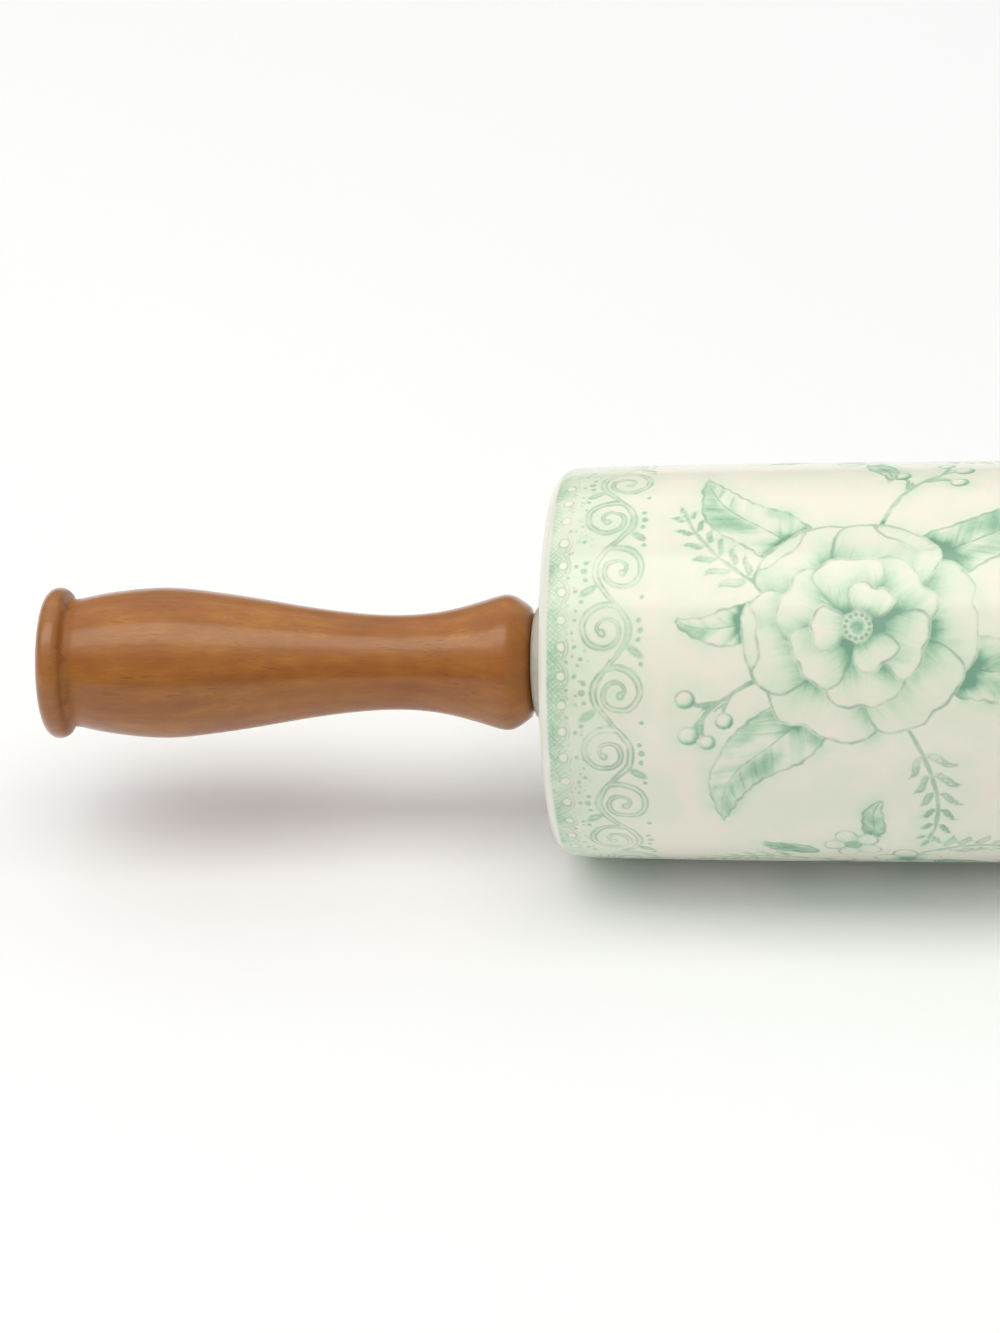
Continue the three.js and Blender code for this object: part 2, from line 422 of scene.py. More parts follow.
def roller_piece():
    top = R_FULL - TAPER[0][1]
    knots = [(-END + a, R_FULL - d) for a, d in TAPER]
    side = smooth_profile(knots + [(0.0, R_FULL)], 0.84)
    mouth = arc(-END + 0.6, 8.9, 0.6, 270, 180, 3)[:-1]
    face = straight((-END, 8.9), (-END, top - SHOULDER), 1.9)
    corner = arc(-END + SHOULDER, top - SHOULDER, SHOULDER, 180, 90, 10)
    left = mouth + face + corner + side[1:-1]
    right = [(-a, r) for a, r in left][::-1]
    outer = left + [(0.0, R_FULL)] + right
    floor, inner = END - 9.0, R_FULL - 6.5
    hollow = (straight((END - 0.6, 8.3), (floor, 8.3), 3.0)[1:]
              + straight((floor, 8.3), (floor, inner - 5), 7.0)
              + arc(floor - 5, inner - 5, 5, 0, 90, 4)
              + straight((floor - 5, inner), (-floor + 5, inner), 40.0)[1:]
              + arc(-floor + 5, inner - 5, 5, 90, 180, 4)
              + straight((-floor, inner - 5), (-floor, 8.3), 7.0)[1:]
              + straight((-floor, 8.3), (-END + 0.6, 8.3), 3.0))
    loop = outer + hollow
    # most of the bake map goes to the printed outside
    p = np.array(loop + loop[:1])
    seg = np.hypot(*np.diff(p, axis=0).T)
    mid = (p[1:] + p[:-1]) / 2
    printed = mid[:, 1] > 29.5
    end_face = (np.abs(mid[:, 0]) > END - 0.7) & ~printed
    seg = seg * np.where(printed, 1.0, np.where(end_face, 0.5, 0.06))
    v = np.r_[0, np.cumsum(seg)]
    obj, _ = turned("ceramic_roller", loop, PRINT_COLUMNS, True, v_rows=v / v[-1])
    return obj, np.array(loop)


# ------------------------------------------------------------------ printed ornament
# The roller's side is laid out flat: t runs along it from the left end, s around it,
# both in mm. Each layer stores a signed distance to its shapes and two coordinates
# inside them at the mesh's points, and the glaze material draws from these.

GIRTH = 2 * math.pi * R_FULL


def around(d):
    return (d + GIRTH / 2) % GIRTH - GIRTH / 2


def outline_distance(x, y, outline):
    best = np.full(x.shape, 1e9)
    inside = np.zeros(x.shape, bool)
    bx, by = outline[-1]
    for ax, ay in outline:
        ex, ey = bx - ax, by - ay
        wx, wy = x - ax, y - ay
        q = np.clip((wx * ex + wy * ey) / (ex * ex + ey * ey + 1e-12), 0, 1)
        best = np.minimum(best, (wx - ex * q) ** 2 + (wy - ey * q) ** 2)
        if ay != by:
            inside ^= ((ay > y) != (by > y)) & (x < ex * (y - ay) / (by - ay) + ax)
        bx, by = ax, ay
    return np.where(inside, -1.0, 1.0) * np.sqrt(best)


class Layer:
    def __init__(self, t, s):
        self.t, self.s = t, s
        self.data = np.zeros(t.shape + (3,))
        self.data[..., 0] = 6.0

    def put(self, pick, d, u, v):
        old = self.data[pick]
        closer = d < old[:, 0]
        old[closer] = np.c_[d, u, v][closer]
        self.data[pick] = old

    def stamp(self, centre, outline, local):
        """Adds the shape whose outline is given around centre; local gives its coordinates."""
        out = np.asarray(outline)
        dt, ds = self.t - centre[0], around(self.s - centre[1])
        lo, hi = out.min(0) - 5.5, out.max(0) + 5.5
        pick = np.nonzero((dt > lo[0]) & (dt < hi[0]) & (ds > lo[1]) & (ds < hi[1]))
        if len(pick[0]):
            x, y = dt[pick], ds[pick]
            self.put(pick, outline_distance(x, y, out), *local(x, y))

    def stroke(self, centre, points, thick, thin):
        """Adds a line through points around centre that tapers from thick to thin (half widths)."""
        pts = np.asarray(points)
        dt, ds = self.t - centre[0], around(self.s - centre[1])
        lo, hi = pts.min(0) - 5.5, pts.max(0) + 5.5
        pick = np.nonzero((dt > lo[0]) & (dt < hi[0]) & (ds > lo[1]) & (ds < hi[1]))
        if not len(pick[0]):
            return
        x, y = dt[pick], ds[pick]
        seg = np.diff(pts, axis=0)
        size = np.hypot(*seg.T)
        start = np.r_[0, np.cumsum(size)]
        best, sign, along = np.full(x.shape, 1e9), np.ones(x.shape), np.zeros(x.shape)
        for (ax, ay), (ex, ey), n, a0 in zip(pts[:-1], seg, size, start):
            wx, wy = x - ax, y - ay
            q = np.clip((wx * ex + wy * ey) / (n * n), 0, 1)
            d = np.hypot(wx - ex * q, wy - ey * q)
            near = d < best
            best = np.where(near, d, best)
            sign = np.where(near, np.sign(ex * wy - ey * wx), sign)
            along = np.where(near, a0 + q * n, along)
        half = thick + (thin - thick) * along / start[-1]
        self.put(pick, best - half, sign * best, along)


def rotate(points, angle):
    c, s = math.cos(angle), math.sin(angle)
    p = np.asarray(points, float)
    return np.c_[c * p[:, 0] - s * p[:, 1], s * p[:, 0] + c * p[:, 1]]


def unrotate(x, y, angle):
    c, s = math.cos(angle), math.sin(angle)
    return c * x + s * y, c * y - s * x


def leaf(layer, base, angle, length, width, bend=0.0, ripple=0.05, seed=0):
    """A pointed leaf. Coordinates: offset from the midrib and distance from the base, mm."""
    rng = np.random.default_rng(seed % 100003)
    q = np.linspace(0, 1, 34)
    rib = lambda q: bend * length * (2.6 * q * (1 - q) - 0.5 * np.sin(2 * np.pi * q))
    half = width * 2.06 * q ** 0.66 * (1 - q) ** 1.02
    a, b, f, g = rng.uniform(0, 6.28, 4)
    upper = half * (1 + ripple * (np.sin(8 * q + a) + 0.6 * np.sin(17 * q + b)))
    lower = half * (1 + ripple * (np.sin(8 * q + f) + 0.6 * np.sin(17 * q + g)))
    outline = np.vstack([np.c_[q * length, rib(q) + upper], np.c_[q * length, rib(q) - lower][::-1][1:-1]])

    def local(x, y):
        lx, ly = unrotate(x, y, angle)
        return ly - rib(np.clip(lx / length, 0, 1)), lx
    layer.stamp(base, rotate(outline, angle), local)


def petal_half(q):
    return 1.28 * q ** 0.62 * np.sqrt(np.clip(1 - q ** 4.2, 0, 1))


def petal(layer, centre, angle, root, tip, width, seed=0, notch=0.6):
    """A broad petal of a rosette. Coordinates: -1..1 across and 0..1 from root to tip."""
    rng = np.random.default_rng(seed % 100003)
    q = 1 - (1 - np.linspace(0, 1, 30)) ** 1.8
    half = width * petal_half(q)
    x = root + (tip - root) * q
    pts = np.vstack([np.c_[x, half], np.c_[x, -half][::-1][1:-1]])
    mid = np.array([root + 0.55 * (tip - root), 0])
    ang = np.arctan2(pts[:, 1], pts[:, 0] - mid[0])
    a, b, f = rng.uniform(0, 6.28, 3)
    wave = 0.028 * np.sin(3 * ang + a) + 0.024 * np.sin(5 * ang + b) + 0.016 * np.sin(9 * ang + f)
    wave = wave * np.clip((pts[:, 0] - root) / (tip - root) * 1.6, 0, 1)
    pts = mid + (pts - mid) * (1 + wave)[:, None]
    shift = rng.uniform(-0.25, 0.25) * width
    pts[:, 0] -= notch * np.exp(-((pts[:, 1] - shift) / (0.17 * width)) ** 2) * (pts[:, 0] > mid[0])

    def local(x, y):
        lx, ly = unrotate(x, y, angle)
        return ly / width, (lx - root) / (tip - root)
    layer.stamp(centre, rotate(pts, angle), local)


def lip(layer, centre, angle, root, tip, width, start, stop, depth):
    """The turned-over edge of a petal, between start and stop across it."""
    q = np.linspace(0.62, 1, 60)
    h = petal_half(q)
    y = np.linspace(start, stop, 22)
    edge = root + (tip - root) * np.interp(np.abs(y), h[::-1], q[::-1])
    k = np.linspace(0, 1, 22)
    fold = edge - depth * np.sin(np.pi * k) ** 0.8 * (1 + 0.18 * np.sin(9 * k))
    outline = np.vstack([np.c_[edge + 0.25, y * width], np.c_[fold, y * width][::-1]])

    def local(x, y2):
        lx, ly = unrotate(x, y2, angle)
        return ly / width, (lx - (tip - depth)) / depth
    layer.stamp(centre, rotate(outline, angle), local)


def blossom(layer, centre, size, turn):
    """A small five-lobed flower. Coordinates: mm from its centre, turned with it."""
    a = np.linspace(0, 2 * np.pi, 90, endpoint=False)
    r = size * (0.6 + 0.4 * np.abs(np.cos(2.5 * a)) ** 0.8) * (1 + 0.03 * np.sin(3 * a + turn * 7))
    layer.stamp(centre, rotate(np.c_[r * np.cos(a), r * np.sin(a)], turn), lambda x, y: unrotate(x, y, turn))


def berry(layer, centre, size):
    a = np.linspace(0, 2 * np.pi, 20, endpoint=False)
    layer.stamp(centre, np.c_[size * np.cos(a), size * 0.94 * np.sin(a)], lambda x, y: (x / size, y / size))


def curve(points, n=40):
    p0, p1, p2, p3 = (np.array(p, float) for p in points)
    k = np.linspace(0, 1, n)[:, None]
    return (1 - k) ** 3 * p0 + 3 * k * (1 - k) ** 2 * p1 + 3 * k * k * (1 - k) * p2 + k ** 3 * p3


class Spot:
    """A place on the roller with its own x and y, which may be mirrored."""

    def __init__(self, t, s, fx, fy):
        self.t, self.s, self.fx, self.fy = t, s, fx, fy

    def at(self, x, y):
        return self.t + self.fx * x, self.s + self.fy * y

    def turn(self, degrees):
        a = math.radians(degrees)
        return math.atan2(self.fy * math.sin(a), self.fx * math.cos(a))

    def line(self, points):
        return np.asarray(points) * (self.fx, self.fy)

    @property
    def hand(self):
        return self.fx * self.fy


def fern(lay, spot, bezier, count, size):
    """A stem with pairs of small leaves that shrink towards its tip."""
    path = curve(bezier, 60)
    lay["stem"].stroke((spot.t, spot.s), spot.line(path), 0.34, 0.16)
    step = np.hypot(*np.diff(path, axis=0).T)
    run = np.r_[0, np.cumsum(step)]
    for i in range(count):
        f = 0.22 + 0.72 * i / (count - 1)
        where = np.array([np.interp(f * run[-1], run, path[:, k]) for k in (0, 1)])
        ahead = np.array([np.interp(f * run[-1] + 0.6, run, path[:, k]) for k in (0, 1)]) - where
        if np.hypot(*ahead) < 1e-6:
            ahead = path[-1] - path[-2]
        heading = math.degrees(math.atan2(ahead[1], ahead[0]))
        for side in (-1, 1):
            length = size * (1.0 - 0.55 * f) * (1.0 + 0.08 * side)
            a = math.radians(heading + side * 52)
            start = where + 0.5 * np.array([math.cos(a), math.sin(a)])
            leaf(lay["frond"], spot.at(*start), spot.turn(heading + side * 52), length, 0.17 * length + 0.2,
                 bend=-0.12 * side * spot.hand, ripple=0.0, seed=i)
    tip = path[-1]
    heading = math.degrees(math.atan2(*(path[-1] - path[-3])[::-1]))
    leaf(lay["frond"], spot.at(*tip), spot.turn(heading), size * 0.5, 0.75, ripple=0.0)


def berries(lay, spot, bezier, side_shoots):
    """A stem with round berries on short shoots."""
    path = curve(bezier, 50)
    lay["stem"].stroke((spot.t, spot.s), spot.line(path), 0.34, 0.22)
    berry(lay["berry"], spot.at(*(path[-1])), 1.9)
    for f, angle, length, size in side_shoots:
        i = int(f * 49)
        heading = math.degrees(math.atan2(*(path[min(i + 1, 49)] - path[i - 1])[::-1]))
        a = math.radians(heading + angle)
        end = path[i] + length * np.array([math.cos(a), math.sin(a)])
        mid = path[i] + 0.6 * length * np.array([math.cos(a - 0.25 * np.sign(angle)), math.sin(a - 0.25 * np.sign(angle))])
        lay["stem"].stroke((spot.t, spot.s), spot.line([path[i], mid, end]), 0.24, 0.2)
        berry(lay["berry"], spot.at(*end), size)


def sprig(lay, spot, heading, seed):
    """Three small leaves and a berry on a short stem."""
    a = math.radians(heading)
    d, n = np.array([math.cos(a), math.sin(a)]), np.array([-math.sin(a), math.cos(a)])
    lay["stem"].stroke((spot.t, spot.s), spot.line(curve([-8 * d, -4 * d + 1.2 * n, -1 * d + 0.6 * n, 2 * d])), 0.3, 0.24)
    for turn, length, start in ((0, 9.5, 2 * d), (58, 8.0, -0.6 * d + 0.6 * n), (-55, 8.0, -2.4 * d + 0.7 * n)):
        leaf(lay["frond"], spot.at(*start), spot.turn(heading + turn), length, 2.5, bend=0.06, ripple=0.04, seed=seed + int(turn))
    berry(lay["berry"], spot.at(*(-8.6 * d)), 1.5)


def bouquet(lay, spot, turn, seed):
    """The large rosette with its leaves and sprays."""
    home = spot.at(0, 0)
    for layer, angle, length, width, bend in (
            ("leaf_a", 128, 33, 8.6, 0.10), ("leaf_b", 177, 21, 5.6, 0.08), ("leaf_a", 238, 34, 9.0, -0.12),
            ("leaf_b", 339, 33, 8.6, 0.10), ("leaf_a", 43, 32, 8.4, -0.10)):
        a = math.radians(angle)
        leaf(lay[layer], spot.at(11 * math.cos(a), 11 * math.sin(a)), spot.turn(angle), length, width,
             bend=bend * spot.hand, ripple=0.06, seed=seed + angle)
    fern(lay, spot, [(-14, 6), (-20, 9), (-27, 14), (-30, 22)], 6, 6.2)
    fern(lay, spot, [(8, -17), (13, -25), (15, -34), (11, -43)], 6, 6.8)
    berries(lay, spot, [(-14, -8), (-20, -10), (-25, -13), (-29, -19)],
            ((0.45, 42, 5.0, 1.6), (0.62, -48, 5.5, 1.8), (0.8, 50, 4.6, 1.5)))
    berries(lay, spot, [(3, 17), (5, 26), (9, 33), (17, 37)],
            ((0.5, 46, 6.0, 1.8), (0.68, -50, 6.0, 1.7), (0.84, 48, 5.0, 1.5)))
    rng = np.random.default_rng(seed % 100003)
    for layer, count, offset, root, tip, width in (
            ("petal_a", 3, 0, 3.0, 21.0, 11.0), ("petal_b", 3, 60, 3.0, 20.0, 10.6),
            ("petal_c", 3, 28, 1.5, 14.2, 7.6), ("petal_d", 3, 88, 1.5, 12.6, 7.0), ("petal_e", 3, 55, 0.6, 8.3, 4.6)):
        for i in range(count):
            angle = turn + offset + 360 * i / count + rng.uniform(-4, 4)
            reach = tip * rng.uniform(0.96, 1.04)
            petal(lay[layer], home, spot.turn(angle), root, reach, width * rng.uniform(0.96, 1.05), seed=seed * 40 + i + int(offset),
                  notch=0.05 * tip)
            if layer == "petal_b" and i < 2:
                lip(lay["lip"], home, spot.turn(angle), root, reach, width, -0.78, 0.42, 3.1)
            if layer == "petal_a" and i == 1:
                lip(lay["lip"], home, spot.turn(angle), root, reach, width, -0.3, 0.75, 2.8)
    a = np.linspace(0, 2 * np.pi, 40, endpoint=False)
    lay["heart"].stamp(home, np.c_[2.9 * np.cos(a), 2.9 * np.sin(a)], lambda x, y: (x, y))


def posy(lay, spot, seed):
    """Three small blossoms with leaves and sprays."""
    for x, y, angle, length, width in ((-8, -6, 214, 12, 3.4), (10, 0, -20, 13, 3.6), (1, 12, 74, 12, 3.3),
                                       (-8, 6, 152, 11.5, 3.2), (3, -5, 288, 11.5, 3.3)):
        leaf(lay["leaf_a"], spot.at(x, y), spot.turn(angle), length, width, bend=0.1, ripple=0.05, seed=seed + angle)
    for k, (x, y, size) in enumerate(((-5.5, -3, 6.6), (7, 1.5, 6.2), (-2, 9.5, 5.4))):
        blossom(lay["blossom_a" if k != 1 else "blossom_b"], spot.at(x, y), size, spot.turn(17 * k + seed))
    fern(lay, spot, [(-9, 1), (-15, 4), (-22, 4), (-28, 0)], 6, 5.8)
    fern(lay, spot, [(10, 6), (16, 10), (22, 11), (28, 8)], 6, 5.8)
    berries(lay, spot, [(4, -8), (8, -13), (14, -15), (20, -13)], ((0.55, 45, 4.5, 1.5), (0.75, -50, 4.8, 1.6)))


LAYERS = ("stem", "frond", "berry", "leaf_a", "leaf_b", "blossom_a", "blossom_b", "petal_a", "petal_b", "lip",
          "petal_c", "petal_d", "petal_e", "heart")


def print_layers(obj, loop):
    theta, _ = ring_frame(PRINT_COLUMNS)
    rows = np.nonzero(loop[:, 1] > 29.5)[0]
    t, s = np.meshgrid(loop[rows, 0] + END, theta * R_FULL, indexing="ij")
    lay = {name: Layer(t, s) for name in LAYERS}
    half = GIRTH / 2
    for k, (at_t, at_s, fx, fy, turn) in enumerate((
            (55, 6, 1, 1, 10), (55, 6 + half, 1, -1, 52), (120, 6 - half / 2, 1, 1, 95), (120, 6 + half / 2, -1, -1, 30),
            (185, 6, -1, -1, 75), (185, 6 + half, -1, 1, 20))):
        bouquet(lay, Spot(at_t, at_s, fx, fy), turn, 11 + k)
    for k, (at_t, at_s, fx, fy) in enumerate((
            (55, 6 - half / 2, 1, 1), (55, 6 + half / 2, 1, -1), (120, 6, -1, 1), (120, 6 + half, 1, 1),
            (185, 6 - half / 2, -1, 1), (185, 6 + half / 2, -1, -1))):
        posy(lay, Spot(at_t, at_s, fx, fy), 3 + 2 * k)
    for k, (at_t, at_s, heading) in enumerate((
            (88, 34, 35), (87, -22, 300), (88, 34 + half, 220), (87, -22 + half, 130),
            (152, 34, 140), (153, -22, 240), (152, 34 + half, 320), (153, -22 + half, 50))):
        sprig(lay, Spot(at_t, at_s, 1, 1), heading, 70 + k)
    for name, layer in lay.items():
        values = np.zeros((len(loop), PRINT_COLUMNS, 3), np.float32)
        values[..., 0] = 6.0
        values[rows] = layer.data
        field = obj.data.attributes.new(f"print_{name}", "FLOAT_VECTOR", "POINT")
        field.data.foreach_set("vector", values.ravel())


# ------------------------------------------------------------------ handles and bushes

HANDLE = [
    (6.7, 11.53), (8.1, 11.84), (9.5, 12.13), (11.7, 12.51), (13.5, 12.75), (17.1, 13.14), (20.7, 13.34),
    (24.3, 13.24), (27.8, 12.88), (31.4, 12.41), (35.0, 11.90), (38.6, 11.32), (42.2, 10.70), (45.8, 10.08),
    (49.3, 9.54), (52.9, 9.07), (56.5, 8.69), (60.0, 8.45), (63.6, 8.38), (67.2, 8.54), (70.7, 8.98),
    (74.3, 9.74), (77.9, 10.74), (79.3, 11.18), (80.7, 11.60), (82.0, 11.90), (82.9, 11.94), (83.6, 11.80),
    (84.4, 11.44), (85.2, 10.94), (86.0, 10.36), (86.8, 9.68)]


def handle_profile():
    """Along runs outwards from the roller's end plane; the profile starts on the axis in the bore."""
    start, outer_end = 4.1, 91.5
    body = smooth_profile([(outer_end - a, r) for a, r in reversed(HANDLE)], 0.7)
    bead = [(outer_end - 2.4 * (1 + (a / 2.7)), r) for a, r in arc(0, 10.7, 2.7, 180, 44, 20)][::-1]
    bore = [(28.5, 0), (27, 3.5), (22, 3.5), (22, 5.35), (5.2, 5.35), (5.2, 7.3), (start + 0.15, 7.3), (start, 7.45)]
    lip = [(start, 8.35), (start + 0.12, 8.62), (start + 0.3, 8.94)]
    groove = smooth_profile([(outer_end - 6.7, 11.53), (outer_end - 6.1, 11.41), (outer_end - 5.5, 11.33), (outer_end - 5.05, 11.38),
                             (outer_end - 4.7, 11.62), (outer_end - 4.38, 12.08), bead[0]], 0.16)[1:-1]
    end = [(outer_end, 10.0), (outer_end, 7.0), (outer_end, 3.5), (outer_end, 0)]
    return bore + lip + body + groove + bead + end


def place(profile, side):
    return [(side * (END + a), r) for a, r in profile]


def handle_piece(name, side):
    obj, _ = turned(name, place(handle_profile(), side), 128, False, sharp_from=55)
    return obj


def bush_profile():
    front, inner = 3.95, 0.3
    rim = smooth_profile([(front, 8.55), (front - 0.12, 9.0), (front - 0.42, 9.6), (front - 0.95, 10.0),
                          (front - 1.6, 10.17), (front - 2.3, 10.2)], 0.16)
    return ([(front - 0.5, 4.3), (front - 0.15, 4.45), (front, 4.8), (front, 6.6)] + rim
            + [(inner + 0.4, 10.2), (inner + 0.12, 10.1), (inner, 9.9), (inner, 8.2), (inner - 0.2, 8.0),
               (-6, 8.0), (-12, 8.0), (-12.8, 7.5), (-13, 7.2), (-13, 4.6), (-12.7, 4.3), (-5, 4.3)])


def bush_piece(name, side):
    obj, _ = turned(name, place(bush_profile(), side), 96, True, sharp_from=55)
    return obj


# ------------------------------------------------------------------ glaze


def band(d, half, soft=0.12):
    """1 where the distance d is within half of zero."""
    return d.abs().ramp(half + soft, max(half - soft, 0.0))


class Ink:
    """The ornament built up layer by layer: a tone of green and a drawn line."""

    def __init__(self, tone, line):
        self.tone, self.line = tone, line

    def over(self, sd, tone, line, shadow=0.0, reach=2.2, bleed=None):
        if bleed is not None:
            self.tone = self.tone.max(sd.ramp(4.2, 0.0) * bleed)
        if shadow:
            self.tone = self.tone * (sd.ramp(reach, 0.0) * shadow + 1.0)
        m = sd.ramp(0.32, -0.28)
        self.tone = self.tone + (tone - self.tone) * m
        self.line = self.line + (line - self.line) * m


def glaze_material():
    mat, tree, bsdf = material("printed_ivory_glaze")
    p = object_mm(tree)
    x, y, z = p.xyz()
    ce, se = math.cos(VIEW_ELEVATION), math.sin(VIEW_ELEVATION)
    radius = (y * y + z * z).sqrt()
    s = (y * se + z * ce).atan2(z * se - y * ce) * R_FULL
    t = x + END
    edge = t.min(2 * END - t)

    grain = noise(tree, p, 1.25, 3.0, 0.6)
    wash = noise(tree, p, 0.17, 2.0)
    broken = noise(tree, p, 0.42, 2.0)
    # drawn by hand: lines wander, swell and fade, and the wash runs in patches
    slow = noise(tree, vec(tree, x, y + 50.0, z), 0.1, 2.0)
    sway = noise(tree, vec(tree, x + 70.0, y, z), 0.3, 2.0) - 0.5
    swell = noise(tree, vec(tree, x, y, z + 90.0), 0.25, 1.0).ramp(0.3, 0.7, 0.05, 0.25)
    flow = noise(tree, vec(tree, x - 40.0, y, z), 0.075, 2.0).ramp(0.32, 0.68, 0.4, 1.2)
    pen = (broken * 0.5 + slow * 0.5).ramp(0.40, 0.57, 0.3, 1.0)
    bleed = flow * (wash.ramp(0.35, 0.65) * 0.1 + 0.06)

    def drawn(d, inset):
        return ((d + inset).abs() - swell).ramp(0.36, -0.26) * pen

    # --- borders
    haze = slow.ramp(0.46, 0.66) * 0.07
    ink = Ink((edge.ramp(20.0, 5.0) * (wash * 0.26 + 0.05)).max(haze), x * 0.0)
    true_edge, true_s = edge, s
    edge = edge + (broken - 0.5) * 0.55
    s = s + sway * 1.1
    pitch = GIRTH / 44
    c = ((s / pitch).fract() - 0.5).abs() * pitch
    bound = ((6.25 - c * c).max(0.0)).sqrt() * 0.78 + 4.0
    inside = bound - edge
    mesh = GIRTH / 220
    across, along = s / mesh, edge / mesh
    net = ((across + along).fract() - 0.5).abs().max(((across - along).fract() - 0.5).abs())
    patch = (slow * 0.5 + wash * 0.5).ramp(0.38, 0.62, 0.45, 1.15)
    lace_tone = (edge.ramp(6.4, 1.7, 0.14, 0.42) + (grain - 0.5) * 0.4) * patch
    lace_line = (net.ramp(0.24, 0.48) * edge.ramp(6.4, 2.2, 0.3, 0.8) * patch).max(
        drawn(inside, -0.2)).max(band(inside - 0.85, 0.08, 0.2) * pen)
    eyelet = (c * c + (edge - 4.35) * (edge - 4.35)).sqrt()
    lace_tone = lace_tone * eyelet.ramp(0.4, 1.05, 0.35, 1.0)
    lace_line = lace_line * eyelet.ramp(0.5, 0.9) + band(eyelet - 0.85, 0.1, 0.2) * pen
    ink.over(-inside, lace_tone, lace_line.clamp() * 0.54)
    picot = (c * c + (edge - 6.75) * (edge - 6.75)).sqrt()
    joint = ((c - pitch / 2) * (c - pitch / 2) + (edge - 5.3) * (edge - 5.3)).sqrt()
    ink.line = ink.line.max(picot.ramp(0.6, 0.15) * 0.75 * pen).max(joint.ramp(0.56, 0.12) * 0.7 * pen)
    dots = tree.nodes.new("ShaderNodeTexVoronoi")
    dots.inputs["Scale"].default_value = 0.72
    tree.links.new(p.socket, dots.inputs["Vector"])
    speck = V(tree, dots.outputs["Distance"]).ramp(0.32, 0.1) * edge.ramp(10.8, 6.4) * (-inside).ramp(0.1, 0.8)
    ink.line = ink.line.max(speck * 0.6)

    # --- running scroll
    period = GIRTH / 10
    half = period / 2
    cell = s / half
    sign = 1.0 - ((cell.floor() * 0.5).fract() * 2.0).ramp(0.4, 0.6) * 2.0
    a = (cell.fract() - 0.5) * half
    b = (edge - 13.0) * sign
    angle = a * (2 * math.pi / period)
    slope = angle.sin() * (3.1 * 2 * math.pi / period)
    wave = (b - angle.cos() * 3.1) / (slope * slope + 1.0).sqrt()
    px, py = a - 0.1, b + 1.1
    rho = (px * px + py * py).sqrt()
    turn = ((0.46 - py.atan2(px)) / (2 * math.pi)).fract()
    outer = 4.7 - turn * 2.7
    inner = outer - 2.7
    coil_o = rho - outer
    coil_i = rho - inner
    open_i = inner.ramp(0.75, 0.95)
    width_o = 0.62 - turn * 0.16
    shape_w = wave.abs() - (angle.cos() * 0.22 + 0.42)
    shape_o = coil_o.abs() - width_o
    shape_i = (coil_i.abs() - 0.38) + (1.0 - open_i) * 4.0
    end_x, end_y = a - 0.1 - 0.72 * math.cos(0.46 - 2 * math.pi * 0.46), b + 1.1 - 0.72 * math.sin(0.46 - 2 * math.pi * 0.46)
    bud = (end_x * end_x + end_y * end_y).sqrt() - 0.72
    scroll = shape_w.min(shape_o).min(shape_i).min(bud)
    tri = (a * a + (b - 5.0) * (b - 5.0)).sqrt() - 0.5
    tri = tri.min(((a.abs() - 1.7) * (a.abs() - 1.7) + (b - 4.7) * (b - 4.7)).sqrt() - 0.4)
    tri = tri.min(((a.abs() - 5.1) * (a.abs() - 5.1) + (b + 5.2) * (b + 5.2)).sqrt() - 0.36)
    lx, ly = unrot(a + 3.9, b - 4.1, 2.2)
    small = ((lx * lx) / 2.6 + (ly * ly) / 0.5).sqrt() - 1.0
    scroll_zone = scroll
    ink.over(scroll_zone, (wash * 0.36 + 0.06) * flow, drawn(scroll_zone, 0.08) * 0.95, bleed=bleed)
    ink.over(tri, wash * 0.3 + 0.3, band(tri + 0.1, 0.1, 0.2) * 0.5 * pen)
    ink.over(small * 0.7, grain * 0.3 + 0.22, drawn(small * 0.7, 0.1) * 0.7)
    edge, s = true_edge, true_s

    # --- flowers and leaves
    def field(name, wander=0.9):
        sd, u, v = attribute(tree, f"print_{name}").xyz()
        return sd + sway * wander, u, v

    sd, u, v = field("stem", 0.0)
    near = sd
    sd = ((u + sway * 0.5).abs() - (v * -0.004 + 0.36 + sway * 0.5)).max(sd - 0.42)
    ink.over(near, ink.tone, ink.line, bleed=bleed)
    ink.over(sd, 0.36 + (wash - 0.5) * 0.7, drawn(sd, 0.06) * 0.85)

    sd, u, v = field("frond", 0.6)
    blade = noise(tree, vec(tree, v * 0.7, u * 1.6, s * 0.2), 1.0, 2.0)
    ink.over(sd, (0.12 + blade * 0.42 + u.ramp(-0.6, 0.6) * 0.12) * flow, drawn(sd, 0.14).max(band(u, 0.06, 0.14) * 0.4 * pen) * 0.8,
             bleed=bleed)

    sd, u, v = field("berry", 0.5)
    ball = (u + 0.32) * (u + 0.32) + (v - 0.36) * (v - 0.36)
    ink.over(sd, ball.ramp(0.0, 1.7, 0.02, 0.66) + (grain - 0.5) * 0.2, drawn(sd, 0.14) * 0.9, shadow=0.2, bleed=bleed)

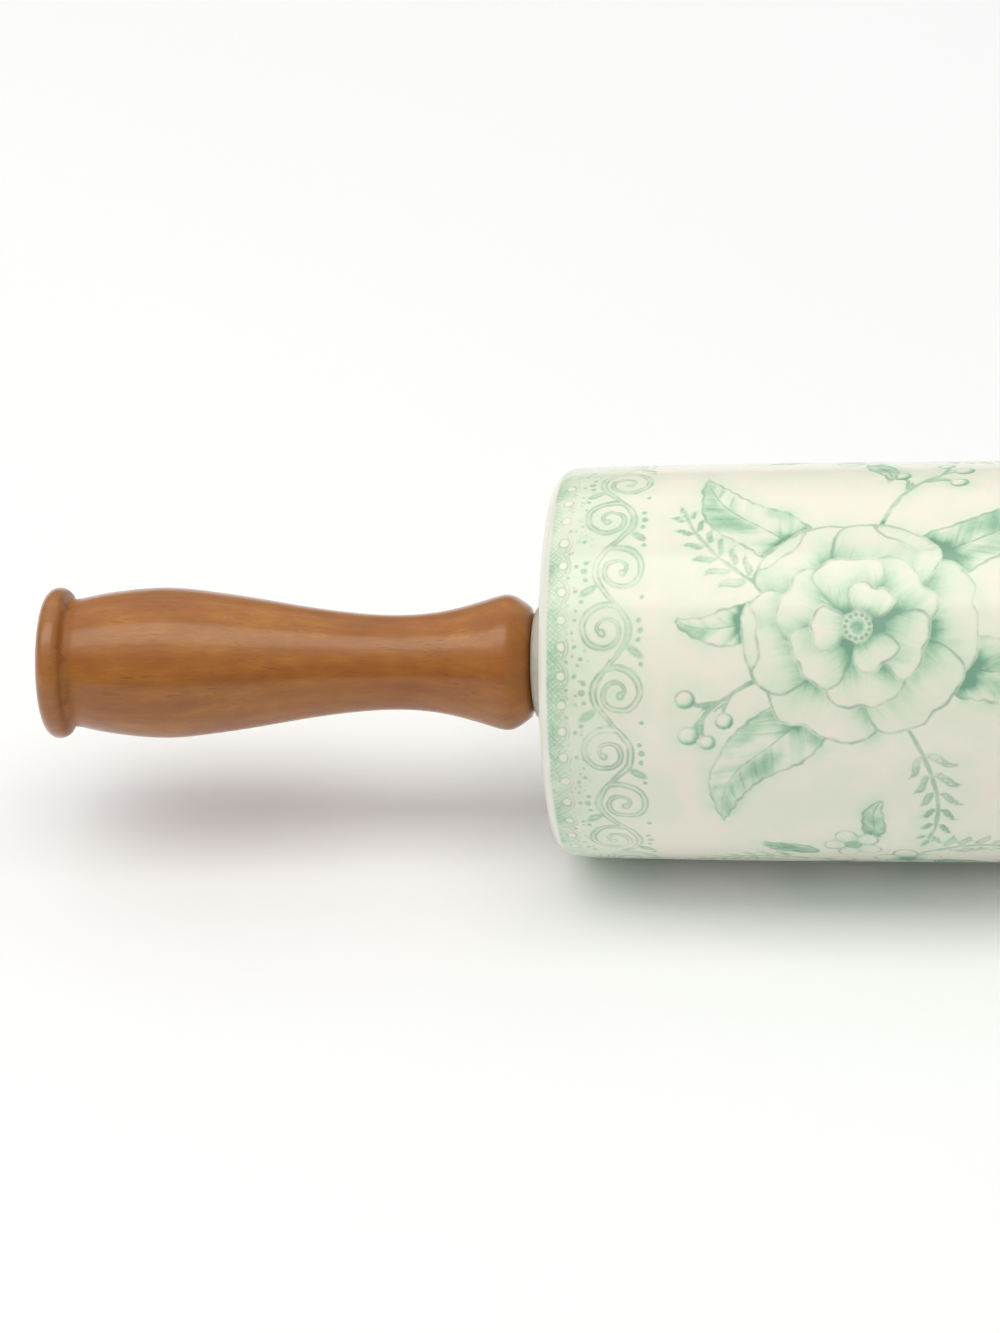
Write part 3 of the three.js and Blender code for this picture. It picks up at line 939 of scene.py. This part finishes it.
    def leaf_ink(name):
        sd, u, v = field(name)
        saw = ((v * 0.42 + broken * 0.6).fract() - 0.5).abs()
        sd = sd + (saw - 0.25) * 0.45
        au = u.abs()
        vein = (v - au * 0.95) / 3.6 + 0.12 * (wash - 0.5)
        f = vein.fract()
        brush = noise(tree, vec(tree, (v - au * 0.95) * 0.4, au * 0.1 + u.ramp(-0.3, 0.3), t * 0.02), 1.0, 2.0, 0.5)
        pool = noise(tree, vec(tree, v * 0.11, u * 0.16, t * 0.03), 1.0, 2.0).ramp(0.34, 0.66, -0.14, 0.2)
        tone = 0.17 + pool + (brush - 0.46) * 0.7 + u.ramp(-0.9, 0.9) * 0.1 + f * 0.05 + v.ramp(17.0, 2.0) * 0.3
        tone = tone - sd.ramp(-2.6, -0.6) * 0.07
        vein_line = (f - 0.5).abs().ramp(0.36, 0.49) * au.ramp(0.1, 0.9) * sd.ramp(-0.5, -1.7) * 0.5 * pen * brush.ramp(0.4, 0.56)
        rib = band(u + sway * 0.6, 0.1, 0.2) * v.ramp(34.0, 16.0, 0.4, 0.8) * sd.ramp(-0.1, -0.9) * pen.max(0.45)
        line = (drawn(sd, 0.2) * 0.95).max(vein_line).max(rib)
        ink.over(sd, tone.max(0.03), line, shadow=0.35, bleed=bleed)

    leaf_ink("leaf_a")
    leaf_ink("leaf_b")

    def blossom_ink(name):
        sd, u, v = field(name)
        r = (u * u + v * v).sqrt()
        lobe = (v.atan2(u) * (5 / (2 * math.pi))).fract()
        gap = (lobe - 0.5).abs() * r * (2 * math.pi / 5)
        ray = noise(tree, vec(tree, lobe * 9.0, r * 0.4, t * 0.05), 1.0, 2.0)
        tone = r.ramp(5.8, 1.0, 0.05, 0.46) * flow + (ray - 0.5) * 0.3 + gap.ramp(1.1, 0.0) * 0.12
        tone = tone + r.ramp(1.65, 1.25) * 0.26
        line = (drawn(sd, 0.18) * 0.92).max(gap.ramp(0.3, 0.04) * r.ramp(1.4, 1.8) * 0.7 * pen)
        line = line.max(band(r - 1.45, 0.1, 0.2) * 0.6).max((ray.ramp(0.56, 0.68) * r.ramp(3.6, 1.8)) * 0.3)
        ink.over(sd, tone.max(0.02), line, shadow=0.5, bleed=bleed)

    blossom_ink("blossom_a")
    blossom_ink("blossom_b")

    def petal_ink(name, deep, cast):
        sd, u, v = field(name)
        streak = noise(tree, vec(tree, u * 5.0, v * 0.9, t * 0.03), 1.0, 3.0, 0.6)
        bloomy = noise(tree, vec(tree, u * 1.3, v * 1.5, t * 0.05), 1.0, 2.0)
        root = (1.0 - v).clamp()
        tone = 0.04 + root * root * deep * (flow * 0.6 + 0.25) + (streak - 0.5) * (root * 0.36 + 0.1) + (bloomy - 0.44) * 0.36
        tone = tone + u.ramp(0.1, 1.1) * 0.1 + sd.ramp(-1.2, -0.1) * 0.06
        hair = ((u * 4.2 + streak * 0.7).fract() - 0.5).abs().ramp(0.08, 0.0) * v.ramp(0.78, 0.42) * 0.4 * pen
        line = (drawn(sd, 0.2) * 0.95).max(hair)
        ink.over(sd, tone.max(0.0), line, shadow=cast, reach=4.2, bleed=bleed if name == "petal_a" else None)

    petal_ink("petal_a", 0.7, 0.35)
    petal_ink("petal_b", 0.75, 0.55)
    sd, u, v = field("lip")
    fold = noise(tree, vec(tree, u * 6.0, v * 0.7, t * 0.05), 1.0, 2.0)
    ink.over(sd, 0.02 + fold * 0.2 + v.ramp(0.5, 1.0) * 0.08, drawn(sd, 0.18) * 0.85, shadow=0.5, reach=1.6)
    petal_ink("petal_c", 0.8, 0.7)
    petal_ink("petal_d", 0.85, 0.7)
    petal_ink("petal_e", 0.75, 0.6)
    sd, u, v = field("heart")
    r = (u * u + v * v).sqrt()
    spoke = ((v.atan2(u) * (13 / (2 * math.pi))).fract() - 0.5).abs()
    knob = ((r - 2.1) * (r - 2.1) + (spoke * r * (2 * math.pi / 13)) * (spoke * r * (2 * math.pi / 13))).sqrt()
    ink.over(sd, 0.62 - r.ramp(0.5, 1.7) * 0.3 + (grain - 0.5) * 0.3, knob.ramp(0.5, 0.2).max(drawn(sd, 0.1) * 0.7) * 0.85, shadow=0.7)

    # --- colour
    tone = (ink.tone * (1.04 + grain * 0.44) + (grain - 0.5) * 0.04 * ink.tone.ramp(0.0, 0.1)).clamp()
    printed = colours(tree, tone, [
        (0.0, srgb(246, 242, 228)), (0.2, srgb(230, 239, 219)), (0.4, srgb(207, 229, 204)),
        (0.6, srgb(180, 213, 184)), (0.8, srgb(150, 193, 165)), (1.0, srgb(126, 171, 146))])
    printed = mix_colour(tree, (ink.line * 0.78).clamp(), printed, srgb(140, 165, 147))
    bare = (edge + (broken - 0.5) * 0.6).ramp(2.15, 1.6)
    skin = colours(tree, noise(tree, p, 0.08, 2.0), [(0.3, srgb(237, 237, 226)), (0.7, srgb(241, 240, 230))])
    outside = mix_colour(tree, bare, printed, skin)
    raw = radius.ramp(29.3, 28.9) * (x.abs()).ramp(END - 0.3, END - 0.9)
    tree.links.new(mix_colour(tree, raw, outside, srgb(236, 232, 222)), bsdf.inputs["Base Color"])
    tree.links.new((raw * 0.5 + grain * 0.05 + 0.12).socket, bsdf.inputs["Roughness"])
    bsdf.inputs["Specular IOR Level"].default_value = 0.5
    bump(tree, bsdf, noise(tree, p, 0.06, 1.0) + grain * 0.004, 0.25, 0.0004)
    return mat


def unrot(x, y, angle):
    c, s = math.cos(angle), math.sin(angle)
    return x * c + y * s, y * c - x * s


# ------------------------------------------------------------------ assembly

roller, roller_loop = roller_piece()
print_layers(roller, roller_loop)
roller.data.materials.append(glaze_material())
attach(roller, "roller")
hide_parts("roller_barrel")

nylon = nylon_material()
for side, word in ((-1, "left"), (1, "right")):
    piece = handle_piece(f"{word}_turned_handle", side)
    piece.data.materials.append(wood_material(f"{word}_handle_wood", side, 0.0 if side < 0 else 37.0))
    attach(piece, "handles")
    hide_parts(f"{word}_handle")
    piece = bush_piece(f"{word}_end_bush", side)
    piece.data.materials.append(nylon)
    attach(piece, "roller")
    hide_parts(f"{word}_bush")

steel = metal_material("drawn_steel", (0.56, 0.57, 0.58, 1), (0.36, 0.37, 0.38, 1), 0.2, (0.15, 6.0, 9.0))
washer_steel = metal_material("washer_steel", (0.55, 0.56, 0.57, 1), (0.30, 0.31, 0.32, 1), 0.24, (3.0, 7.0, 0.6))
brass = metal_material("turned_brass", (0.66, 0.45, 0.13, 1), (0.42, 0.26, 0.06, 1), 0.22, (6.0, 6.0, 0.4))
for node, mat in (("axle_rod", steel), ("left_washer", washer_steel), ("right_washer", washer_steel),
                  ("left_lock_washer", washer_steel), ("right_lock_washer", washer_steel),
                  ("left_insert", brass), ("right_insert", brass)):
    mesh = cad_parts[node].data
    mesh.materials.clear()
    mesh.materials.append(mat)

# ------------------------------------------------------------------ stage


def floor_piece():
    mesh = bpy.data.meshes.new("floor")
    s, z = 9.0, -0.0351
    mesh.from_pydata([(-s, -s, z), (s, -s, z), (s, s, z), (-s, s, z)], [], [(0, 1, 2, 3)])
    obj = bpy.data.objects.new("floor", mesh)
    bpy.context.scene.collection.objects.link(obj)
    mat, tree, bsdf = material("pale_floor")
    p = object_mm(tree)
    tree.links.new(colours(tree, noise(tree, p, 0.004, 2.0), [(0.3, (0.955, 0.965, 0.99, 1)), (0.7, (0.968, 0.978, 0.998, 1))]),
                   bsdf.inputs["Base Color"])
    bsdf.inputs["Roughness"].default_value = 0.9
    bsdf.inputs["Specular IOR Level"].default_value = 0.1
    mesh.materials.append(mat)
    return obj


def area_light(name, place_at, target, size_x, size_y, power, colour=(1, 1, 1)):
    lamp = bpy.data.lights.new(name, "AREA")
    lamp.shape, lamp.size, lamp.size_y = "RECTANGLE", size_x, size_y
    lamp.energy, lamp.color = power, colour
    obj = bpy.data.objects.new(name, lamp)
    bpy.context.scene.collection.objects.link(obj)
    obj.location = place_at
    obj.rotation_mode = "QUATERNION"
    obj.rotation_quaternion = (Vector(target) - Vector(place_at)).to_track_quat("-Z", "Y")
    return obj


floor_piece()
# the softbox reaches further to the left: surfaces that lean to the right fall off sooner
area_light("overhead_softbox", (-0.85, -0.38, 1.25), (-0.85, -0.38, 0.0), 2.7, 1.28, 5.5)
area_light("inner_strip", (-0.85, -0.18, 1.24), (-0.85, -0.18, 0.0), 2.6, 0.72, 10.4, (1.0, 0.985, 0.87))
area_light("rear_panel", (-0.05, 1.3, 1.25), (-0.05, 1.3, 0.0), 3.4, 1.8, 7.0)

world = bpy.data.worlds.new("studio")
bpy.context.scene.world = world
world.use_nodes = True
back = world.node_tree.nodes["Background"]
# white overhead, dimmer towards the horizon, so that edges stay drawn
sky = world.node_tree
heading = sky.nodes.new("ShaderNodeTexCoord")
height = Vec(sky, heading.outputs["Generated"]).xyz()[2]
sky.links.new((height.clamp() * 0.38 + 0.22).socket, back.inputs["Strength"])
back.inputs["Color"].default_value = (1.0, 1.0, 1.0, 1)

# ------------------------------------------------------------------ camera
# The photo's frame is 1000 x 1333. The optical axis passes through its centre.
F_PX = 6000.0
YAW = math.radians(7.2)
ROLL = math.radians(0.06)
PX_PER_MM = 5.673
CENTRE_X = -130.3           # point of the pin's axis seen at the frame's middle column, mm
AXIS_Y_PX = 662.3           # row of the pin's axis there

scene = bpy.context.scene
scene.view_settings.view_transform = "Standard"
scene.view_settings.look = "None"
cam_data = bpy.data.cameras.new("camera")
cam = bpy.data.objects.new("camera", cam_data)
scene.collection.objects.link(cam)
scene.camera = cam
cam_data.sensor_width = 36.0
cam_data.lens = F_PX * 36.0 / 1333.0
e = VIEW_ELEVATION
radial = Vector((0, -math.cos(e), math.sin(e)))
axis = Vector((1, 0, 0))
w = (radial * math.cos(YAW) + axis * math.sin(YAW)).normalized()
right = (axis - axis.dot(w) * w).normalized()
up = w.cross(right)
right, up = right * math.cos(ROLL) - up * math.sin(ROLL), up * math.cos(ROLL) + right * math.sin(ROLL)
distance = F_PX / PX_PER_MM * MM
target = Vector((CENTRE_X * MM, 0, 0)) - up * ((666.5 - AXIS_Y_PX) / PX_PER_MM * MM)
eye = target + w * distance
cam.matrix_world = Matrix((
    (right.x, up.x, w.x, eye.x),
    (right.y, up.y, w.y, eye.y),
    (right.z, up.z, w.z, eye.z),
    (0, 0, 0, 1)))
cam_data.clip_start, cam_data.clip_end = 0.05, 60.0
